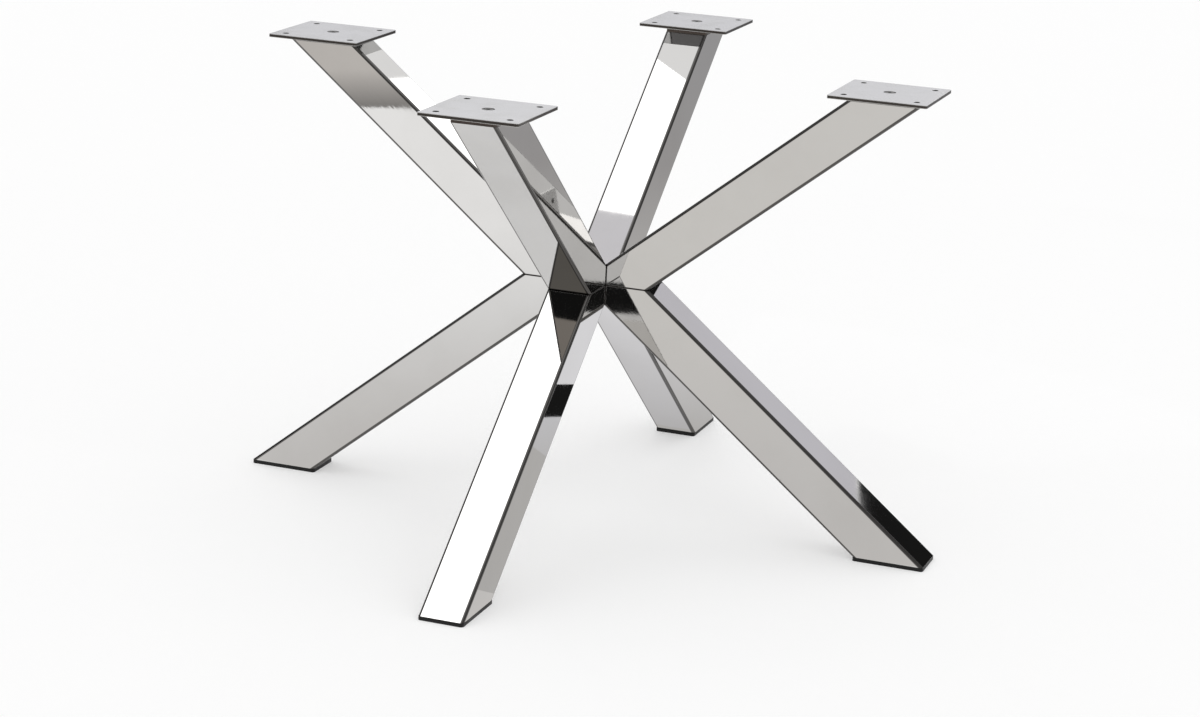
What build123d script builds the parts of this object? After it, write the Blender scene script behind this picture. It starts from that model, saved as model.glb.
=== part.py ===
from build123d import *
from math import cos, radians, tan
import os

# Table base: eight mitred square tubes that meet in one hub, with four mounting plates and four foot pads.
# The origin is on the floor under the hub, +X runs to the right leg, +Y to the back leg and +Z up.

# Overall sizes, in millimetres and degrees
overall_height = 720.0
hub_height = 380.0              # level of the joint between the upper and the lower legs
leg_angle = 51.0                # slope of every leg, measured from the vertical
hub_web = 12.0                  # height of solid joint left on the axis between the upper and lower crotches

# Square tube
tube_size = 70.0
tube_wall = 3.0
tube_corner_radius = 4.5

# Mounting plates
plate_size = 150.0
plate_thickness = 5.0
plate_corner_radius = 3.0
plate_edge_break = 0.6
fixing_hole_diameter = 9.0
fixing_hole_spacing = 110.0

# Caps that close the upper legs
cap_thickness = 8.0
cap_inset = 0.6

# Countersunk socket screws
screw_diameter = 8.0
screw_head_diameter = 16.0
screw_head_rim = 0.8
screw_head_drop = 0.3           # how far the head lies below the top of the plate
screw_tip_length = 3.0          # what stands out below the cap, inside the tube
screw_clearance = 0.15          # between the screw and its holes, all round
socket_size = 5.0               # across flats
socket_depth = 2.8

# Foot pads
pad_thickness = 6.0
pad_edge_break = 1.0
plug_height = 24.0
plug_wall = 2.5
plug_clearance = 0.3            # between the plug and the tube, all round

# Worked out from the sizes above
slope = tan(radians(leg_angle))
cut_length = tube_size / cos(radians(leg_angle))            # length of a level cut through a tube
crotch_offset = -hub_web / 2 * slope                        # where the crotch face passes the joint level
leg_top = overall_height - plate_thickness - cap_thickness
axis_offset = crotch_offset + cut_length / 2                # where a tube's centre line passes the joint level
upper_reach = axis_offset + (leg_top - hub_height) * slope
lower_reach = axis_offset + (hub_height - pad_thickness) * slope
raw_length = 2 * overall_height                             # longer than any leg before it is cut
head_height = (screw_head_diameter - screw_diameter) / 2

# Each leg stands in a vertical plane through the hub: its name and the direction it leans in
directions = {"right": 0, "back": 90, "left": 180, "front": 270}

os.makedirs("parts", exist_ok=True)


def outward(turn):
    """Plane through the axis of the hub, with X pointing out along the leg and Z up."""
    return Plane.XY.rotated((0, 0, turn))


def section_plane(turn, rise):
    """Plane across a leg's tube, with its normal along the leg, for rise 1 (upper) or -1 (lower)."""
    local = outward(turn)
    start = local.from_local_coords((axis_offset, 0, hub_height))
    along = local.x_dir * slope + Vector(0, 0, rise)
    return Plane(origin=start, x_dir=local.y_dir, z_dir=along)


def level(height):
    return Plane.XY.offset(height)


def save(part, name):
    part.label = name
    export_step(part, "parts/" + name + ".step")


def make_leg(turn, rise, end_height):
    """A hollow tube cut by the two upright mitres, the joint level of the hub and its level outer end."""
    with BuildPart() as leg:
        with BuildSketch(section_plane(turn, rise)):
            RectangleRounded(tube_size, tube_size, tube_corner_radius)
            Rectangle(tube_size - 2 * tube_wall, tube_size - 2 * tube_wall, mode=Mode.SUBTRACT)
        extrude(amount=raw_length, both=True)
        for side in (-1, 1):
            mitre = Plane(origin=(0, 0, 0), z_dir=outward(turn + side * 45).y_dir * -side)
            split(bisect_by=mitre, keep=Keep.TOP)
        split(bisect_by=level(hub_height), keep=Keep.TOP if rise > 0 else Keep.BOTTOM)
        split(bisect_by=level(end_height), keep=Keep.BOTTOM if rise > 0 else Keep.TOP)
    return leg.part


def make_cap(turn):
    """The steel block on top of an upper leg, threaded for the plate's screw."""
    with BuildPart() as cap:
        with BuildSketch(level(leg_top)):
            with Locations(outward(turn).from_local_coords((upper_reach, 0))):
                RectangleRounded(
                    cut_length - 2 * cap_inset, tube_size - 2 * cap_inset, tube_corner_radius, rotation=turn
                )
        extrude(amount=cap_thickness)
        screw_hole(turn)
    return cap.part


def screw_hole(turn):
    """The hole for a plate's screw, counted from the plate's top: plate and cap are both cut by it."""
    with Locations(outward(turn).from_local_coords((upper_reach, 0, overall_height))):
        CounterSinkHole(
            radius=screw_diameter / 2 + screw_clearance,
            counter_sink_radius=screw_head_diameter / 2 + screw_clearance + screw_head_drop + screw_head_rim,
            depth=plate_thickness + cap_thickness,
            counter_sink_angle=90,
        )


def make_plate(turn):
    """A square mounting plate with four fixing holes and a countersunk hole in the middle."""
    with BuildPart() as plate:
        with BuildSketch(level(overall_height - plate_thickness)):
            with Locations(outward(turn).from_local_coords((upper_reach, 0))):
                RectangleRounded(plate_size, plate_size, plate_corner_radius, rotation=turn)
                with GridLocations(fixing_hole_spacing, fixing_hole_spacing, 2, 2):
                    Circle(fixing_hole_diameter / 2, mode=Mode.SUBTRACT)
        extrude(amount=plate_thickness)
        chamfer(plate.faces().sort_by(Axis.Z)[-1].outer_wire().edges(), plate_edge_break)
        screw_hole(turn)
    return plate.part


def make_screw(turn):
    """A countersunk screw with a hexagon socket, turned about its own axis."""
    head_top = overall_height - screw_head_drop
    cone_bottom = head_top - screw_head_rim - head_height
    tip = leg_top - screw_tip_length
    head_radius = screw_head_diameter / 2
    shank_radius = screw_diameter / 2
    axis_point = outward(turn).from_local_coords((upper_reach, 0, 0))
    profile_plane = Plane(origin=axis_point, x_dir=(1, 0, 0), z_dir=(0, -1, 0))
    with BuildPart() as screw:
        with BuildSketch(profile_plane):
            with BuildLine():
                Polyline(
                    (0, tip),
                    (shank_radius, tip),
                    (shank_radius, cone_bottom),
                    (head_radius, head_top - screw_head_rim),
                    (head_radius, head_top),
                    (0, head_top),
                    close=True,
                )
            make_face()
        revolve(axis=Axis(axis_point, (0, 0, 1)))
        with BuildSketch(Plane(origin=(axis_point.X, axis_point.Y, head_top))):
            RegularPolygon(socket_size / 2, 6, major_radius=False)
        extrude(amount=-socket_depth, mode=Mode.SUBTRACT)
    return screw.part


def make_pad(turn):
    """A moulded pad with the outline of the leg's cut and a hollow plug that follows the tube's slope."""
    with BuildPart() as pad:
        plug_size = tube_size - 2 * tube_wall - 2 * plug_clearance
        with BuildSketch(section_plane(turn, -1)):
            Rectangle(plug_size, plug_size)
            Rectangle(plug_size - 2 * plug_wall, plug_size - 2 * plug_wall, mode=Mode.SUBTRACT)
        extrude(amount=raw_length)
        split(bisect_by=level(pad_thickness), keep=Keep.TOP)
        split(bisect_by=level(pad_thickness + plug_height), keep=Keep.BOTTOM)
        with BuildSketch(level(0)):
            with Locations(outward(turn).from_local_coords((lower_reach, 0))):
                RectangleRounded(cut_length, tube_size, tube_corner_radius, rotation=turn)
        extrude(amount=pad_thickness)
        chamfer(pad.faces().sort_by(Axis.Z)[0].outer_wire().edges(), pad_edge_break)
    return pad.part


for side_name, turn in directions.items():
    save(make_leg(turn, 1, leg_top), "upper_leg_" + side_name)
    save(make_leg(turn, -1, pad_thickness), "lower_leg_" + side_name)
    save(make_cap(turn), "leg_cap_" + side_name)
    save(make_plate(turn), "top_plate_" + side_name)
    save(make_screw(turn), "plate_screw_" + side_name)
    save(make_pad(turn), "foot_pad_" + side_name)

print("feet reach", round(2 * (lower_reach + cut_length / 2), 1), "mm across")
print("plates reach", round(2 * (upper_reach + plate_size / 2), 1), "mm across")
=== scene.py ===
import bpy
import bmesh
from math import cos, pi, radians, sqrt, tan
from mathutils import Matrix, Vector


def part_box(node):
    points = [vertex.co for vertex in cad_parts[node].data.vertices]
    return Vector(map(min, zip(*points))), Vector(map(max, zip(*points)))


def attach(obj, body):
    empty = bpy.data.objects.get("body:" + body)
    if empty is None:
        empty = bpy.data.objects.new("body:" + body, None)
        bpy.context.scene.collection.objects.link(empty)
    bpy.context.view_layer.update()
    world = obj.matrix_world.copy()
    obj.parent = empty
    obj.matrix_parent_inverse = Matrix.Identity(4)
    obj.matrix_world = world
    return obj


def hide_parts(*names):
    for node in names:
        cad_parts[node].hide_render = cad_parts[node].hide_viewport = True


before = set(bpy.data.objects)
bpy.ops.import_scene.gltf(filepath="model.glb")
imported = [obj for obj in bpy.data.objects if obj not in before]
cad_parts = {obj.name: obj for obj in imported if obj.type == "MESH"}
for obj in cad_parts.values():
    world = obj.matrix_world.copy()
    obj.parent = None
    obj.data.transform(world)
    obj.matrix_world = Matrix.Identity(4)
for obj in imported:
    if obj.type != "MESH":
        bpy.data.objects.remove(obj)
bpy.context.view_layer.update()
print("frame loaded:", len(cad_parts), "nodes")

# Sizes are in metres. Each leg stands in an upright plane through the hub, turned by its angle below.
# Every piece is made for the right-hand leg and then turned to its side.
sides = {"right": 0, "back": 90, "left": 180, "front": 270}

tube = {
    "size": 0.070,
    "wall": 0.003,
    "corner": 0.0045,
    "cornerSteps": 6,
    "innerCorner": 0.0004,
    "innerSteps": 2,
    "tilt": 51,              # degrees from upright
    "hub": 0.380,            # level of the joint between upper and lower legs
    "web": 0.012,            # joint left on the hub's axis
    "seam": 0.0016,          # broken edge along the mitres and the ends
    "uncut": 3.0,            # longer than any leg before it is cut
}

tubeSlope = tan(radians(tube["tilt"]))
tubeCut = tube["size"] / cos(radians(tube["tilt"]))       # length of a level cut through a tube
tubeOffset = tubeCut / 2 - tube["web"] / 2 * tubeSlope    # where its centre line passes the hub's level
up = Vector((0, 0, 1))

# What the helpers for meshes take as equal, as sharp and as part of the screw's hole
near = 1e-6
smoothAngle = radians(32)
rimAngle = 0.5               # radians
screwReach = 0.020           # from the middle of a cap or a plate


def centreOf(node):
    low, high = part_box(node)
    return (low + high) / 2


def addObject(bm, name, material):
    # hands a finished bmesh over to a new object
    mesh = bpy.data.meshes.new(name)
    bm.to_mesh(mesh)
    bm.free()
    mesh.materials.append(material)
    made = bpy.data.objects.new(name, mesh)
    bpy.context.scene.collection.objects.link(made)
    return made


def finishPiece(bm, name, node, material, broken=0.0):
    # makes the object that stands for a node of the frame
    bmesh.ops.remove_doubles(bm, verts=bm.verts, dist=near)
    bmesh.ops.recalc_face_normals(bm, faces=bm.faces)
    for face in bm.faces:
        face.smooth = True
    for edge in bm.edges:
        edge.smooth = len(edge.link_faces) == 2 and edge.calc_face_angle() < smoothAngle
    piece = addObject(bm, name, material)
    if broken:
        edges = piece.modifiers.new("broken edges", "BEVEL")
        edges.width = broken
        edges.segments = 3
        edges.limit_method = "ANGLE"
        edges.angle_limit = smoothAngle
    weighted = piece.modifiers.new("flat faces stay flat", "WEIGHTED_NORMAL")
    weighted.keep_sharp = True
    weighted.weight = 100
    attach(piece, "root")
    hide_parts(node)


def cutAndClose(bm, point, outside):
    # removes what lies beyond a plane and fills the cut
    everything = bm.verts[:] + bm.edges[:] + bm.faces[:]
    cut = bmesh.ops.bisect_plane(
        bm, geom=everything, plane_co=point, plane_no=outside, clear_outer=True, dist=near / 10
    )
    rim = [item for item in cut["geom_cut"] if isinstance(item, bmesh.types.BMEdge)]
    bmesh.ops.triangle_fill(bm, edges=rim, normal=outside, use_beauty=True)


def addBar(bm, width, corner, steps, flip):
    # one open skin of a square bar with rounded long edges, upright on the origin
    length = tube["uncut"]
    shape = Matrix.Diagonal((width, width, length, 1))
    verts = bmesh.ops.create_cube(bm, size=1, matrix=shape)["verts"]
    edges = {edge for vert in verts for edge in vert.link_edges}
    longEdges = [edge for edge in edges if abs(edge.verts[0].co.z - edge.verts[1].co.z) > length / 2]
    made = bmesh.ops.bevel(
        bm, geom=longEdges, offset=corner, offset_type="OFFSET", segments=steps,
        profile=0.5, affect="EDGES", material=-1,
    )
    skin = {face for vert in made["verts"] for face in vert.link_faces}
    ends = [face for face in skin if abs(face.normal.z) > 0.9]
    walls = [face for face in skin if face not in ends]
    bmesh.ops.delete(bm, geom=ends, context="FACES_ONLY")
    if flip:
        bmesh.ops.reverse_faces(bm, faces=walls)


def tubePlace(rise):
    # moves an upright bar onto the centre line of the right-hand leg, for rise 1 (upper) or -1 (lower)
    lean = tube["tilt"] if rise > 0 else 180 - tube["tilt"]
    return Matrix.Translation((tubeOffset, 0, tube["hub"])) @ Matrix.Rotation(radians(lean), 4, "Y")


def addTube(bm, rise, width, wall, corner, innerCorner, steps):
    addBar(bm, width, corner, steps, False)
    addBar(bm, width - 2 * wall, innerCorner, tube["innerSteps"], True)
    bmesh.ops.transform(bm, matrix=tubePlace(rise), verts=bm.verts)


def addOutline(bm, lengthX, lengthY, corner, steps):
    # a rounded rectangle of edges on the floor plane, round the origin
    half = Matrix.Diagonal((lengthX / 2, lengthY / 2, 1, 1))
    verts = bmesh.ops.create_grid(bm, x_segments=1, y_segments=1, size=1, matrix=half)["verts"]
    bmesh.ops.bevel(
        bm, geom=verts, offset=corner, offset_type="OFFSET", segments=steps,
        profile=0.5, affect="VERTICES", material=-1,
    )
    bmesh.ops.delete(bm, geom=bm.faces[:], context="FACES_ONLY")


def addHole(bm, x, y, radius, segments):
    bmesh.ops.create_circle(
        bm, segments=segments, radius=radius, matrix=Matrix.Translation((x, y, 0))
    )


def fillAndRaise(bm, height):
    # fills an outline with its holes and makes it a slab from level 0 to the height
    bmesh.ops.triangle_fill(bm, edges=bm.edges[:], normal=up, use_beauty=True)
    raised = bmesh.ops.extrude_face_region(bm, geom=bm.faces[:])["geom"]
    raised = [item for item in raised if isinstance(item, bmesh.types.BMVert)]
    bmesh.ops.translate(bm, vec=up * height, verts=raised)
    bmesh.ops.recalc_face_normals(bm, faces=bm.faces)


def everywhere(middle):
    return True


def pastScrew(middle):
    return middle.length > screwReach


def rimEdges(bm, level, keep):
    # sharp edges at a level whose middle passes the test
    found = []
    for edge in bm.edges:
        middle = (edge.verts[0].co + edge.verts[1].co) / 2
        flat = all(abs(vert.co.z - level) < near for vert in edge.verts)
        if flat and len(edge.link_faces) == 2 and edge.calc_face_angle() > rimAngle and keep(middle):
            found.append(edge)
    return found


def breakEdges(bm, edges, width, steps):
    bmesh.ops.bevel(
        bm, geom=edges, offset=width, offset_type="OFFSET", segments=steps,
        profile=0.5, affect="EDGES", material=-1, clamp_overlap=True,
    )


def pullRing(bm, ring, scale, drop):
    # extrudes a round of edges, then scales and lowers the new one, which is given back
    made = bmesh.ops.extrude_edge_only(bm, edges=ring)["geom"]
    verts = [item for item in made if isinstance(item, bmesh.types.BMVert)]
    bmesh.ops.scale(bm, vec=(scale, scale, 1), verts=verts)
    bmesh.ops.translate(bm, vec=up * -drop, verts=verts)
    return [item for item in made if isinstance(item, bmesh.types.BMEdge)]


def place(bm, x, z, turn):
    # moves a piece out along the right-hand leg and turns it round the hub, by degrees
    bmesh.ops.translate(bm, vec=(x, 0, z), verts=bm.verts)
    bmesh.ops.rotate(bm, cent=(0, 0, 0), matrix=Matrix.Rotation(radians(turn), 3, "Z"), verts=bm.verts)


def join(bm, other):
    # adds a second bmesh to the first
    loose = bpy.data.meshes.new("loose")
    other.to_mesh(loose)
    other.free()
    bm.from_mesh(loose)
    bpy.data.meshes.remove(loose)


class Wire:
    # a socket that can be added, multiplied and so on, each as a Math node
    def __init__(self, finish, socket):
        self.finish = finish
        self.socket = socket

    def __add__(self, other):
        return self.finish.maths("ADD", self, other)

    def __sub__(self, other):
        return self.finish.maths("SUBTRACT", self, other)

    def __rsub__(self, other):
        return self.finish.maths("SUBTRACT", other, self)

    def __mul__(self, other):
        return self.finish.maths("MULTIPLY", self, other)

    def __abs__(self):
        return self.finish.maths("ABSOLUTE", self)

    __radd__ = __add__


class Finish:
    # a material and the nodes that make it
    def __init__(self, name):
        self.material = bpy.data.materials.new(name)
        self.material.use_nodes = True
        self.nodes = self.material.node_tree.nodes
        self.links = self.material.node_tree.links
        self.shader = self.nodes["Principled BSDF"]

    def add(self, kind, settings, inputs, out=0):
        node = self.nodes.new(kind)
        for name, value in settings.items():
            if name == "stops":
                self.setStops(node.color_ramp, value)
            else:
                setattr(node, name, value)
        for name, value in inputs.items():
            self.feed(node.inputs[name], value)
        return Wire(self, node.outputs[out])

    def setStops(self, ramp, stops):
        while len(ramp.elements) < len(stops):
            ramp.elements.new(0.5)
        for element, (position, level) in zip(ramp.elements, stops):
            element.position = position
            element.color = (level, level, level, 1)

    def feed(self, socket, value):
        if isinstance(value, Wire):
            self.links.new(value.socket, socket)
        else:
            socket.default_value = value

    def surface(self, **values):
        for name, value in values.items():
            self.feed(self.shader.inputs[name.replace("_", " ")], value)

    def place(self):
        return self.add("ShaderNodeTexCoord", {}, {}, "Object")

    def attribute(self, name):
        return self.add("ShaderNodeAttribute", {"attribute_name": name}, {}, "Vector")

    def axes(self, vector):
        return [self.add("ShaderNodeSeparateXYZ", {}, {0: vector}, axis) for axis in range(3)]

    def maths(self, operation, first, second=0.0):
        return self.add("ShaderNodeMath", {"operation": operation}, {0: first, 1: second})

    def smaller(self, first, second):
        return self.maths("MINIMUM", first, second)

    def larger(self, first, second):
        return self.maths("MAXIMUM", first, second)

    def below(self, value, limit, fade):
        # 1 up to the limit, then down to 0
        return self.add("ShaderNodeMapRange", {"clamp": True}, {
            "Value": value, "From Min": limit, "From Max": limit + fade, "To Min": 1.0, "To Max": 0.0,
        })

    def stretch(self, vector, scale):
        return self.add("ShaderNodeVectorMath", {"operation": "MULTIPLY"}, {0: vector, 1: scale})

    def noise(self, vector, scale=1.0, detail=2.0, roughness=0.5):
        sockets = {"Vector": vector, "Scale": scale, "Detail": detail, "Roughness": roughness}
        return self.add("ShaderNodeTexNoise", {}, sockets)

    def ramp(self, value, stops):
        return self.add("ShaderNodeValToRGB", {"stops": stops}, {0: value})

    def mixColour(self, share, first, second):
        # the Mix node's colours are its inputs 6 and 7 and its output 2
        if isinstance(first, tuple):
            first = (*first, 1)
        return self.add("ShaderNodeMix", {"data_type": "RGBA"}, {0: share, 6: first, 7: (*second, 1)}, 2)

    def bump(self, height, distance, normal=None):
        sockets = {"Height": height, "Distance": distance, "Strength": 1.0}
        if normal:
            sockets["Normal"] = normal
        return self.add("ShaderNodeBump", {}, sockets)


# Camera, fitted to the photograph
cameraLook = {
    "place": (1.4886, -4.1034, 1.4821),
    "turn": 19.707,          # degrees to the left of the +Y direction
    "down": 15.765,
    "roll": 2.666,
    "lens": 86.87,           # millimetres, as is the sensor
    "sensor": 36,
    "reach": 200,
}


def makeCamera():
    data = bpy.data.cameras.new("camera")
    data.sensor_fit = "HORIZONTAL"
    data.sensor_width = cameraLook["sensor"]
    data.lens = cameraLook["lens"]
    data.clip_end = cameraLook["reach"]
    camera = bpy.data.objects.new("camera", data)
    bpy.context.scene.collection.objects.link(camera)
    camera.matrix_world = (
        Matrix.Translation(cameraLook["place"])
        @ Matrix.Rotation(radians(cameraLook["turn"]), 4, "Z")
        @ Matrix.Rotation(radians(90 - cameraLook["down"]), 4, "X")
        @ Matrix.Rotation(radians(cameraLook["roll"]), 4, "Z")
    )
    bpy.context.scene.camera = camera


makeCamera()
print("camera made")

# Studio: pale floor, white surroundings, two soft lamps, and cards for the metal to mirror
studio = {
    "floorSize": 60.0,
    "floorColour": (0.62, 0.62, 0.62),
    "floorGlow": 0.36,              # keeps the shadows as light as in a wrap of soft light
    "patchScale": 0.8,
    "patchShare": 0.1,
    "patchTone": 0.97,
    "worldLevel": 1.0,
    "lamps": {                      # name: width, depth, place, degrees tipped up from facing down, level
        "softbox": (3.4, 3.4, (0.0, 0.0, 3.0), 0, 1.52),
        "backPanel": (1.0, 1.44, (0.45, 2.75, 2.17), -90, 1.45),
    },
    "tones": {
        "black": (0.012, 0.012, 0.012),
        "umber": (0.18, 0.17, 0.155),
        "brown": (0.37, 0.34, 0.31),
        "grey": (0.40, 0.40, 0.41),
        "dim": (0.42, 0.41, 0.41),
        "middle": (0.60, 0.59, 0.58),
        "warm": (0.86, 0.845, 0.82),
        "cool": (0.78, 0.765, 0.755),
        "pearl": (1.0, 1.0, 1.0),
        "shade": (1.05, 1.05, 1.05),
        "dusk": (0.76, 0.745, 0.735),
        "lilac": (0.85, 0.84, 0.88),
        "taupe": (0.72, 0.69, 0.66),
        "smoke": (0.29, 0.28, 0.27),
        "lavender": (0.71, 0.70, 0.75),
        "pale": (0.76, 0.76, 0.79),
        "light": (0.94, 0.94, 0.97),
        "glow": (1.18, 1.18, 1.18),
    },
    "cardStep": 4,                  # degrees that one facet of a card turns through
    # cards: from and to in degrees clockwise from +Y as seen from above, then tone, radius and level
    # of the first edge and of the second
    "cards": [
        # a black band all round, greys above it that leave the back open, and the rim of the ceiling
        (0, 360, ("black", 2.70, 0.46), ("black", 2.70, 0.88)),
        (32, 322, ("grey", 2.70, 0.88), ("grey", 2.70, 1.65)),
        (32, 322, ("grey", 2.70, 1.65), ("smoke", 2.70, 2.30)),
        (32, 190, ("smoke", 2.70, 2.30), ("grey", 2.70, 2.90)),
        (190, 225, ("umber", 2.66, 2.00), ("umber", 2.66, 2.90)),
        (225, 322, ("smoke", 2.70, 2.30), ("grey", 2.70, 2.90)),
        (0, 360, ("grey", 2.70, 2.90), ("middle", 1.65, 2.90)),
        # pale panels at the back
        (322, 365, ("pale", 2.65, 0.95), ("light", 2.65, 1.42)),
        (5, 32, ("lavender", 2.68, 0.88), ("lavender", 2.68, 1.44)),
        # sheets laid on the floor at the back, which glossy surfaces alone see: painted shade of the mirrored
        # floor; and the low wall behind them
        (5, 45, ("dim", 2.70, 0.004), ("grey", 2.70, 0.46)),
        (5, 45, ("middle", 1.30, 0.004), ("dim", 2.70, 0.004)),
        (22, 45, ("light", 0.72, 0.004), ("light", 1.30, 0.004)),
        (22, 45, ("black", 0.52, 0.004), ("black", 0.72, 0.004)),
        (-5, 22, ("middle", 0.45, 0.004), ("light", 1.30, 0.004)),
        # sheets laid on the floor under the base, which glossy surfaces alone see: painted shade of the
        # mirrored floor under the base
        (45, 145, ("middle", 0.01, 0.004), ("middle", 0.40, 0.004)),
        (145, 180, ("middle", 0.01, 0.004), ("middle", 0.43, 0.004)),
        (22, 45, ("middle", 0.10, 0.004), ("pale", 0.52, 0.004)),
        (-30, 8, ("light", 0.25, 0.003), ("dim", 0.60, 0.003)),
        # low strips, and sheets laid on the floor at the front, which glossy surfaces alone see: painted
        # shade and painted light of the mirrored floor
        (193, 202, ("brown", 1.55, 0.23), ("brown", 1.55, 0.38)),
        (193, 202, ("black", 1.55, 0.16), ("black", 1.55, 0.23)),
        (150, 172, ("black", 1.30, 0.003), ("black", 1.55, 0.003)),
        (198, 222, ("smoke", 3.35, 0.003), ("taupe", 3.90, 0.003)),
        (198, 222, ("taupe", 3.90, 0.003), ("taupe", 5.20, 0.003)),
        (198, 222, ("pearl", 1.30, 0.003), ("glow", 2.00, 0.003)),
        (198, 222, ("glow", 2.00, 0.003), ("glow", 3.35, 0.003)),
        # under the softbox
        (-62, 205, ("shade", 0.01, 2.885), ("shade", 1.65, 2.885)),
        # sheets laid on the wide floor at the front and the sides, which glossy surfaces alone see: painted
        # shade of the mirrored floor
        (172, 198, ("warm", 1.25, 0.003), ("warm", 5.20, 0.003)),
        (95, 198, ("dusk", 0.30, 0.003), ("warm", 1.25, 0.003)),
        (198, 265, ("cool", 0.45, 0.003), ("pearl", 1.30, 0.003)),
        # under the softbox
        (262, 272, ("lilac", 0.55, 2.885), ("lilac", 1.25, 2.885)),
    ],
}


def stageObject(bm, name, material):
    made = addObject(bm, name, material)
    return made


def mirroredOnly(made):
    # seen by glossy surfaces alone, so it throws no shadow and stays out of the picture
    made.visible_camera = False
    made.visible_diffuse = False
    made.visible_shadow = False
    made.visible_transmission = False


def makeFloor():
    finish = Finish("studio floor")
    patches = finish.noise(finish.place(), studio["patchScale"])
    pale = studio["floorColour"]
    patch = tuple(part * studio["patchTone"] for part in pale)
    finish.surface(
        Base_Color=finish.mixColour(patches * studio["patchShare"], pale, patch),
        Roughness=0.9,
        Specular_IOR_Level=0.1,
        Emission_Color=(1, 1, 1, 1),
        Emission_Strength=studio["floorGlow"],
    )
    bm = bmesh.new()
    bmesh.ops.create_grid(bm, x_segments=1, y_segments=1, size=studio["floorSize"] / 2)
    stageObject(bm, "studio_floor", finish.material)


def makeWorld():
    world = bpy.data.worlds.new("studio")
    world.use_nodes = True
    backdrop = world.node_tree.nodes["Background"]
    backdrop.inputs["Color"].default_value = (1, 1, 1, 1)
    backdrop.inputs["Strength"].default_value = studio["worldLevel"]
    bpy.context.scene.world = world


def makeLamps():
    # soft panels that only glossy surfaces see: the world lights the rest
    for name, (wide, deep, where, tip, level) in studio["lamps"].items():
        lamp = bpy.data.lights.new(name, "AREA")
        lamp.shape = "RECTANGLE"
        lamp.size, lamp.size_y = wide, deep
        lamp.energy = level * pi * wide * deep
        made = bpy.data.objects.new(name, lamp)
        made.location = where
        made.rotation_euler.x = radians(tip)
        made.visible_camera = False
        made.visible_diffuse = False
        bpy.context.scene.collection.objects.link(made)


def cardFinish():
    # the tone is carried by the mesh, so that a card can fade from one edge to the other
    finish = Finish("card")
    finish.surface(
        Base_Color=(0, 0, 0, 1),
        Roughness=0.95,
        Specular_IOR_Level=0.0,
        Emission_Color=finish.attribute("tone"),
        Emission_Strength=1.0,
    )
    return finish.material


def makeCards():
    # each card is one edge swept round the set
    material = cardFinish()
    for number, (start, end, *rims) in enumerate(studio["cards"]):
        bm = bmesh.new()
        layer = bm.verts.layers.float_vector.new("tone")
        ends = []
        for tone, radius, level in rims:
            vert = bm.verts.new((0, radius, level))
            vert[layer] = studio["tones"][tone]
            ends.append(vert)
        edge = bm.edges.new(ends)
        bmesh.ops.rotate(bm, cent=(0, 0, 0), matrix=Matrix.Rotation(radians(-start), 3, "Z"), verts=ends)
        bmesh.ops.spin(
            bm, geom=ends + [edge], cent=(0, 0, 0), axis=(0, 0, -1), angle=radians(end - start),
            steps=max(2, round((end - start) / studio["cardStep"])), use_merge=end - start == 360,
        )
        mirroredOnly(stageObject(bm, "card_%d" % number, material))


makeFloor()
makeWorld()
makeLamps()
makeCards()
bpy.context.scene.view_settings.view_transform = "Standard"
print("studio made")

# Polished tubes
tubeSteel = {
    "colour": (0.640, 0.632, 0.622),
    "tint": (0.585, 0.575, 0.562),      # where the polish is a little duller
    "tintShare": 0.6,
    "shine": (0.006, 0.040),            # roughness from clean to smudged
    "smudgeScale": 7.0,
    "smudgeStops": ((0.42, 0.0), (0.72, 1.0)),
    "hairlineScale": (420, 420, 3),     # across the tube both ways, then along it
    "hairlineDepth": 0.000004,
    "hairlineRoughness": 0.01,
    "waveScale": (6, 6, 1.6),
    "waveDepth": 0.00010,
    # painted dark reflection: stands for the dark line where the reflection changes at the mitres
    "seamDarkReflection": (0.035, 0.032, 0.030),
    "seamHalf": 0.0009,
    "seamFade": 0.0007,
    "seamRoughness": 0.2,
    # painted dark reflection: stands for the black line that the rounded long edges mirror
    "edgeDarkReflection": (0.060, 0.057, 0.054),
    "edgeShare": 0.9,
    "edgeStart": 0.0004,                # how far short of a long edge's rounding its painted dark reflection line starts
    "edgeFade": 0.0008,
}


def tubeFinish():
    finish = Finish("mirror polished steel")
    along, where = finish.attribute("alongTube"), finish.place()
    hairlines = finish.noise(
        finish.stretch(along, tubeSteel["hairlineScale"]), detail=3.0, roughness=0.6
    )
    patches = finish.noise(where, tubeSteel["smudgeScale"], detail=4.0, roughness=0.55)
    smudges = finish.ramp(patches, tubeSteel["smudgeStops"])
    waves = finish.noise(finish.stretch(along, tubeSteel["waveScale"]), detail=1.0)
    shade = finish.mixColour(smudges * tubeSteel["tintShare"], tubeSteel["colour"], tubeSteel["tint"])
    # painted dark reflection lines along the long edges, where both sizes across the tube are near half its
    # width
    alongX, alongY, _ = finish.axes(along)
    fromMiddle = finish.smaller(abs(alongX), abs(alongY))
    flat = tube["size"] / 2 - tube["corner"] - tubeSteel["edgeStart"]
    edge = 1 - finish.below(fromMiddle, flat, tubeSteel["edgeFade"])
    shade = finish.mixColour(edge * tubeSteel["edgeShare"], shade, tubeSteel["edgeDarkReflection"])
    # painted dark reflection lines along the mitres and the level joint of the hub
    x, y, z = finish.axes(where)
    toSeam = finish.smaller(abs(abs(x) - abs(y)), abs(z - tube["hub"]))
    seam = finish.below(toSeam, tubeSteel["seamHalf"], tubeSteel["seamFade"])
    shade = finish.mixColour(seam, shade, tubeSteel["seamDarkReflection"])
    clean, smudged = tubeSteel["shine"]
    roughness = clean + smudges * (smudged - clean)
    roughness += hairlines * tubeSteel["hairlineRoughness"] + seam * tubeSteel["seamRoughness"]
    wavy = finish.bump(waves, tubeSteel["waveDepth"])
    finish.surface(
        Base_Color=shade,
        Metallic=1.0,
        Roughness=roughness,
        Normal=finish.bump(hairlines, tubeSteel["hairlineDepth"], wavy),
    )
    return finish.material


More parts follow.
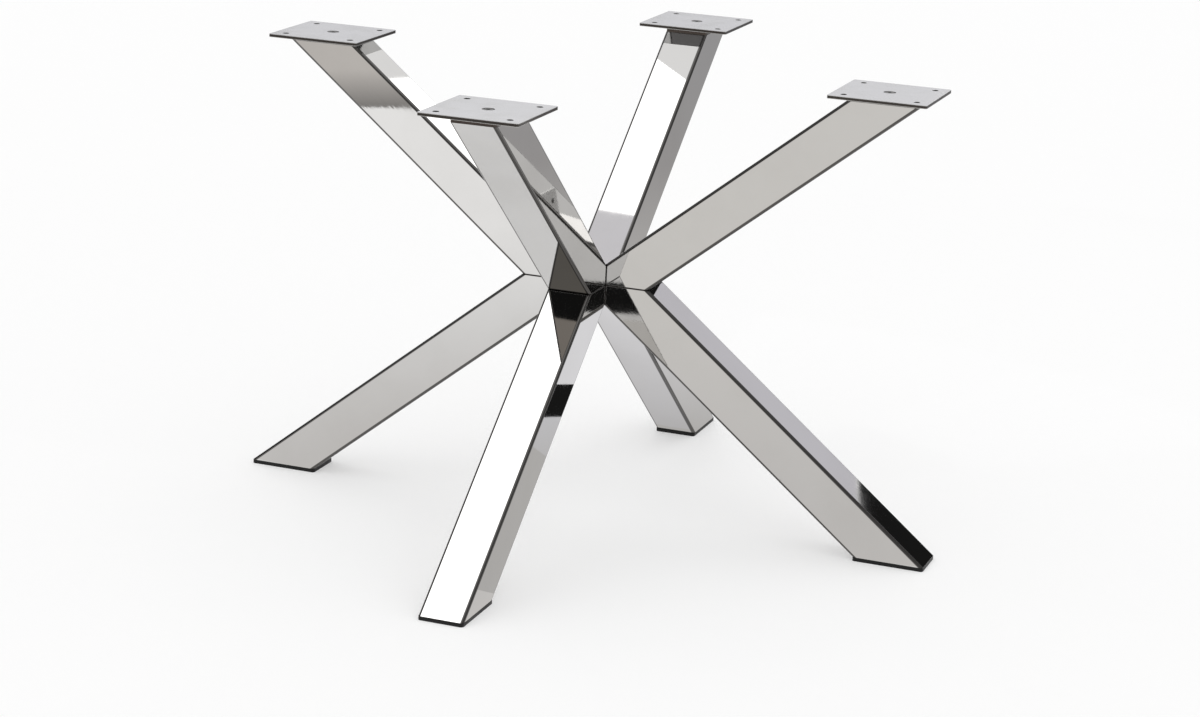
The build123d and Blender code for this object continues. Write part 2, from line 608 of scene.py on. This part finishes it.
def makeTube(name, node, rise, endLevel, side, material):
    bm = bmesh.new()
    addTube(bm, rise, tube["size"], tube["wall"], tube["corner"], tube["innerCorner"], tube["cornerSteps"])
    hub = up * tube["hub"]
    cutAndClose(bm, hub, Vector((-1, 1, 0)).normalized())
    cutAndClose(bm, hub, Vector((-1, -1, 0)).normalized())
    cutAndClose(bm, hub, up * -rise)
    cutAndClose(bm, up * endLevel, up * rise)
    toTube = tubePlace(rise).inverted()
    layer = bm.verts.layers.float_vector.new("alongTube")
    for vert in bm.verts:
        vert[layer] = toTube @ vert.co
    place(bm, 0, 0, sides[side])
    finishPiece(bm, name + side, node + side, material, tube["seam"])


steel = tubeFinish()
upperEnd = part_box("upper_leg_right")[1].z
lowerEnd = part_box("lower_leg_right")[0].z
for side in sides:
    makeTube("upperTube_", "upper_leg_", 1, upperEnd, side, steel)
    makeTube("lowerTube_", "lower_leg_", -1, lowerEnd, side, steel)
print("tubes made")

# Caps on the upper tubes
cap = {
    "inset": 0.0006,
    "cornerSteps": 5,
    "edge": 0.0008,
    "edgeSteps": 2,
    "hole": 0.00415,         # radius
    "holeSegments": 32,
}

capSteelInPaintedShade = {
    # painted shade: this dark colour stands for the shade in the gap between the plate and the tube's top
    "colour": (0.115, 0.095, 0.082),
    "tint": (0.050, 0.042, 0.038),
    "shine": (0.14, 0.26),
    "grindingScale": (60, 60, 1800),
    "grindingDepth": 0.00002,
}


def capFinish():
    # ground steel whose dark colour is painted shade of the gap under the plate
    finish = Finish("ground steel cap in painted shade")
    grinding = finish.noise(finish.stretch(finish.place(), capSteelInPaintedShade["grindingScale"]), detail=3.0)
    bright, dull = capSteelInPaintedShade["shine"]
    finish.surface(
        Base_Color=finish.mixColour(grinding, capSteelInPaintedShade["colour"], capSteelInPaintedShade["tint"]),
        Metallic=1.0,
        Roughness=bright + grinding * (dull - bright),
        Normal=finish.bump(grinding, capSteelInPaintedShade["grindingDepth"]),
    )
    return finish.material


def makeCap(side, material):
    low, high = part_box("leg_cap_right")
    thick = high.z - low.z
    inset = 2 * cap["inset"]
    bm = bmesh.new()
    addOutline(bm, tubeCut - inset, tube["size"] - inset, tube["corner"], cap["cornerSteps"])
    addHole(bm, 0, 0, cap["hole"], cap["holeSegments"])
    fillAndRaise(bm, thick)
    breakEdges(bm, rimEdges(bm, thick, pastScrew), cap["edge"], cap["edgeSteps"])
    place(bm, (low.x + high.x) / 2, low.z, sides[side])
    finishPiece(bm, "legCap_" + side, "leg_cap_" + side, material)


capMaterial = capFinish()
for side in sides:
    makeCap(side, capMaterial)
print("caps made")

# Mounting plates
plate = {
    "size": 0.150,
    "thick": 0.005,
    "corner": 0.003,
    "cornerSteps": 5,
    "edge": 0.0006,
    "edgeSteps": 2,
    "hole": 0.0045,          # radius
    "holeSegments": 32,
    "holeEdge": 0.0009,
    "holeGap": 0.110,
    "coneTop": 0.00925,      # radii of the countersunk hole
    "coneFoot": 0.00425,
    "coneSegments": 48,
}

plateSteel = {
    "colour": (0.60, 0.597, 0.594),
    "tint": (0.47, 0.467, 0.463),
    "shine": (0.10, 0.20),
    "grainScale": (40, 1600, 400),
    "grainDepth": 0.000006,
    "grainShare": 0.5,
    "grainRoughness": 0.05,
    "handlingScale": 22.0,
    "handlingStops": ((0.40, 0.0), (0.75, 1.0)),
    "handlingShare": 0.35,
    "cut": (0.060, 0.055, 0.050),       # painted dark reflection on the upright edges, painted shade in the hole walls and countersink
    "cutMargin": 0.0002,
    "cutFade": 2e-6,                    # square metres
}


def plateFinish():
    low, high = (corner.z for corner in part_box("top_plate_right"))
    margin, fade = plateSteel["cutMargin"], plateSteel["cutFade"]
    finish = Finish("satin steel plate")
    where = finish.place()
    grain = finish.noise(finish.stretch(where, plateSteel["grainScale"]), detail=4.0, roughness=0.6)
    patches = finish.noise(where, plateSteel["handlingScale"], detail=4.0)
    handling = finish.ramp(patches, plateSteel["handlingStops"])
    # from the plate's middle, along the leg and across it, and the same from its nearest fixing hole
    x, y, z = finish.axes(where)
    out = finish.larger(abs(x), abs(y)) - abs(centreOf("top_plate_right").x)
    across = finish.smaller(abs(x), abs(y))
    outHole, acrossHole = abs(out) - plate["holeGap"] / 2, across - plate["holeGap"] / 2
    inCone = finish.below(out * out + across * across, (plate["coneTop"] + margin) ** 2, fade)
    inHole = finish.below(outHole * outHole + acrossHole * acrossHole, (plate["hole"] + margin) ** 2, fade)
    upright = (high - low) / 2 - plate["edge"] - margin
    onRim = finish.below(abs(z - (low + high) / 2), upright, margin)
    # painted dark: a dark reflection on the upright faces, shade in the fixing holes and the countersink
    dark = finish.larger(finish.larger(inCone, inHole), onRim)
    worn = grain * plateSteel["grainShare"] + handling * plateSteel["handlingShare"]
    shade = finish.mixColour(worn, plateSteel["colour"], plateSteel["tint"])
    bright, dull = plateSteel["shine"]
    finish.surface(
        Base_Color=finish.mixColour(dark, shade, plateSteel["cut"]),
        Metallic=1.0,
        Roughness=bright + grain * plateSteel["grainRoughness"] + handling * (dull - bright),
        Normal=finish.bump(grain, plateSteel["grainDepth"]),
    )
    return finish.material


def onPlateRim(middle):
    return max(abs(middle.x), abs(middle.y)) > plate["size"] * 0.49


def onFixingHole(middle):
    return pastScrew(middle) and not onPlateRim(middle)


def makePlate(side, material):
    low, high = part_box("top_plate_right")
    fromMiddle = plate["holeGap"] / 2
    bm = bmesh.new()
    addOutline(bm, plate["size"], plate["size"], plate["corner"], plate["cornerSteps"])
    for x in (-fromMiddle, fromMiddle):
        for y in (-fromMiddle, fromMiddle):
            addHole(bm, x, y, plate["hole"], plate["holeSegments"])
    addHole(bm, 0, 0, plate["coneTop"], plate["coneSegments"])
    fillAndRaise(bm, plate["thick"])
    coneFoot = [vert for vert in bm.verts if vert.co.z < near and not pastScrew(vert.co)]
    shrink = plate["coneFoot"] / plate["coneTop"]
    bmesh.ops.scale(bm, vec=(shrink, shrink, 1), verts=coneFoot)
    for level in (0, plate["thick"]):
        breakEdges(bm, rimEdges(bm, level, onPlateRim), plate["edge"], plate["edgeSteps"])
        breakEdges(bm, rimEdges(bm, level, onFixingHole), plate["holeEdge"], plate["edgeSteps"])
    place(bm, (low.x + high.x) / 2, low.z, sides[side])
    finishPiece(bm, "topPlate_" + side, "top_plate_" + side, material)


plateMaterial = plateFinish()
for side in sides:
    makePlate(side, plateMaterial)
print("plates made")

# Countersunk socket screws
screw = {
    "head": 0.008,           # radius
    "headEdge": 0.0003,
    "rim": 0.0005,           # upright part of the head, under its broken edge
    "shank": 0.004,          # radius
    "tipBreak": 0.0008,
    "socket": 0.0025,        # half of its width across flats
    "socketSides": 6,
    "socketDepth": 0.0028,
    "segments": 48,
}

screwSteel = {
    "colour": (0.060, 0.057, 0.054),
    "tint": (0.030, 0.028, 0.026),
    "shine": (0.22, 0.42),
    "speckleScale": 900.0,
    "speckleDepth": 0.00002,
}


def screwFinish():
    finish = Finish("dark plated screw")
    speckle = finish.noise(finish.place(), screwSteel["speckleScale"], detail=3.0)
    bright, dull = screwSteel["shine"]
    finish.surface(
        Base_Color=finish.mixColour(speckle, screwSteel["colour"], screwSteel["tint"]),
        Metallic=1.0,
        Roughness=bright + speckle * (dull - bright),
        Normal=finish.bump(speckle, screwSteel["speckleDepth"]),
    )
    return finish.material


def makeScrew(side, material):
    # the socket goes down from the top face, then the head and the shank go down round it
    low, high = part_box("plate_screw_right")
    faceRadius = screw["head"] - screw["headEdge"]
    socketRadius = screw["socket"] * 2 / sqrt(3)
    coneHeight = screw["head"] - screw["shank"]
    headHeight = screw["headEdge"] + screw["rim"] + coneHeight
    bm = bmesh.new()
    bmesh.ops.create_circle(bm, segments=screw["segments"], radius=faceRadius)
    outerRing = bm.edges[:]
    bmesh.ops.create_circle(bm, segments=screw["socketSides"], radius=socketRadius)
    socketRing = [edge for edge in bm.edges if edge not in outerRing]
    bmesh.ops.triangle_fill(bm, edges=bm.edges[:], normal=up, use_beauty=True)
    bottom = pullRing(bm, socketRing, 1, screw["socketDepth"])
    bmesh.ops.edgeloop_fill(bm, edges=bottom)
    ring = pullRing(bm, outerRing, screw["head"] / faceRadius, screw["headEdge"])
    ring = pullRing(bm, ring, 1, screw["rim"])
    ring = pullRing(bm, ring, screw["shank"] / screw["head"], coneHeight)
    ring = pullRing(bm, ring, 1, high.z - low.z - headHeight - screw["tipBreak"])
    ring = pullRing(bm, ring, 1 - screw["tipBreak"] / screw["shank"], screw["tipBreak"])
    bmesh.ops.edgeloop_fill(bm, edges=ring)
    place(bm, (low.x + high.x) / 2, high.z, sides[side])
    finishPiece(bm, "plateScrew_" + side, "plate_screw_" + side, material)


screwMaterial = screwFinish()
for side in sides:
    makeScrew(side, screwMaterial)
print("screws made")

# Foot pads
pad = {
    "thick": 0.006,
    "cornerSteps": 5,
    "soleEdge": 0.0015,
    "soleSteps": 3,
    "topEdge": 0.0004,
    "topSteps": 2,
    "plugHeight": 0.024,
    "plugWall": 0.0025,
    "plugGap": 0.0003,
    "plugInnerCorner": 0.0002,
    "plugSteps": 2,
}

padPlastic = {
    "colour": (0.006, 0.006, 0.006),
    "worn": (0.016, 0.016, 0.015),
    "wornShare": 0.7,
    "shine": (0.38, 0.60),
    "dustScale": 45.0,
    "dustStops": ((0.45, 0.0), (0.80, 1.0)),
    "grainScale": 1400.0,
    "grainDepth": 0.00005,
    "grainRoughness": 0.04,
}


def padFinish():
    finish = Finish("black moulded plastic")
    where = finish.place()
    grain = finish.noise(where, padPlastic["grainScale"], detail=3.0)
    patches = finish.noise(where, padPlastic["dustScale"], detail=5.0)
    dust = finish.ramp(patches, padPlastic["dustStops"])
    glossy, matt = padPlastic["shine"]
    finish.surface(
        Base_Color=finish.mixColour(dust * padPlastic["wornShare"], padPlastic["colour"], padPlastic["worn"]),
        Roughness=glossy + dust * (matt - glossy) + grain * padPlastic["grainRoughness"],
        Specular_IOR_Level=0.25,
        Normal=finish.bump(grain, padPlastic["grainDepth"]),
    )
    return finish.material


def makePad(side, material):
    plugSize = tube["size"] - 2 * tube["wall"] - 2 * pad["plugGap"]
    footCentre = tubeOffset + (tube["hub"] - pad["thick"]) * tubeSlope
    bm = bmesh.new()
    addTube(bm, -1, plugSize, pad["plugWall"], tube["innerCorner"], pad["plugInnerCorner"], pad["plugSteps"])
    cutAndClose(bm, up * pad["thick"], up * -1)
    cutAndClose(bm, up * (pad["thick"] + pad["plugHeight"]), up)
    base = bmesh.new()
    addOutline(base, tubeCut, tube["size"], tube["corner"], pad["cornerSteps"])
    fillAndRaise(base, pad["thick"])
    breakEdges(base, rimEdges(base, 0, everywhere), pad["soleEdge"], pad["soleSteps"])
    breakEdges(base, rimEdges(base, pad["thick"], everywhere), pad["topEdge"], pad["topSteps"])
    place(base, footCentre, 0, 0)
    join(bm, base)
    place(bm, 0, 0, sides[side])
    finishPiece(bm, "footPad_" + side, "foot_pad_" + side, material)


padMaterial = padFinish()
for side in sides:
    makePad(side, padMaterial)
print("pads made")
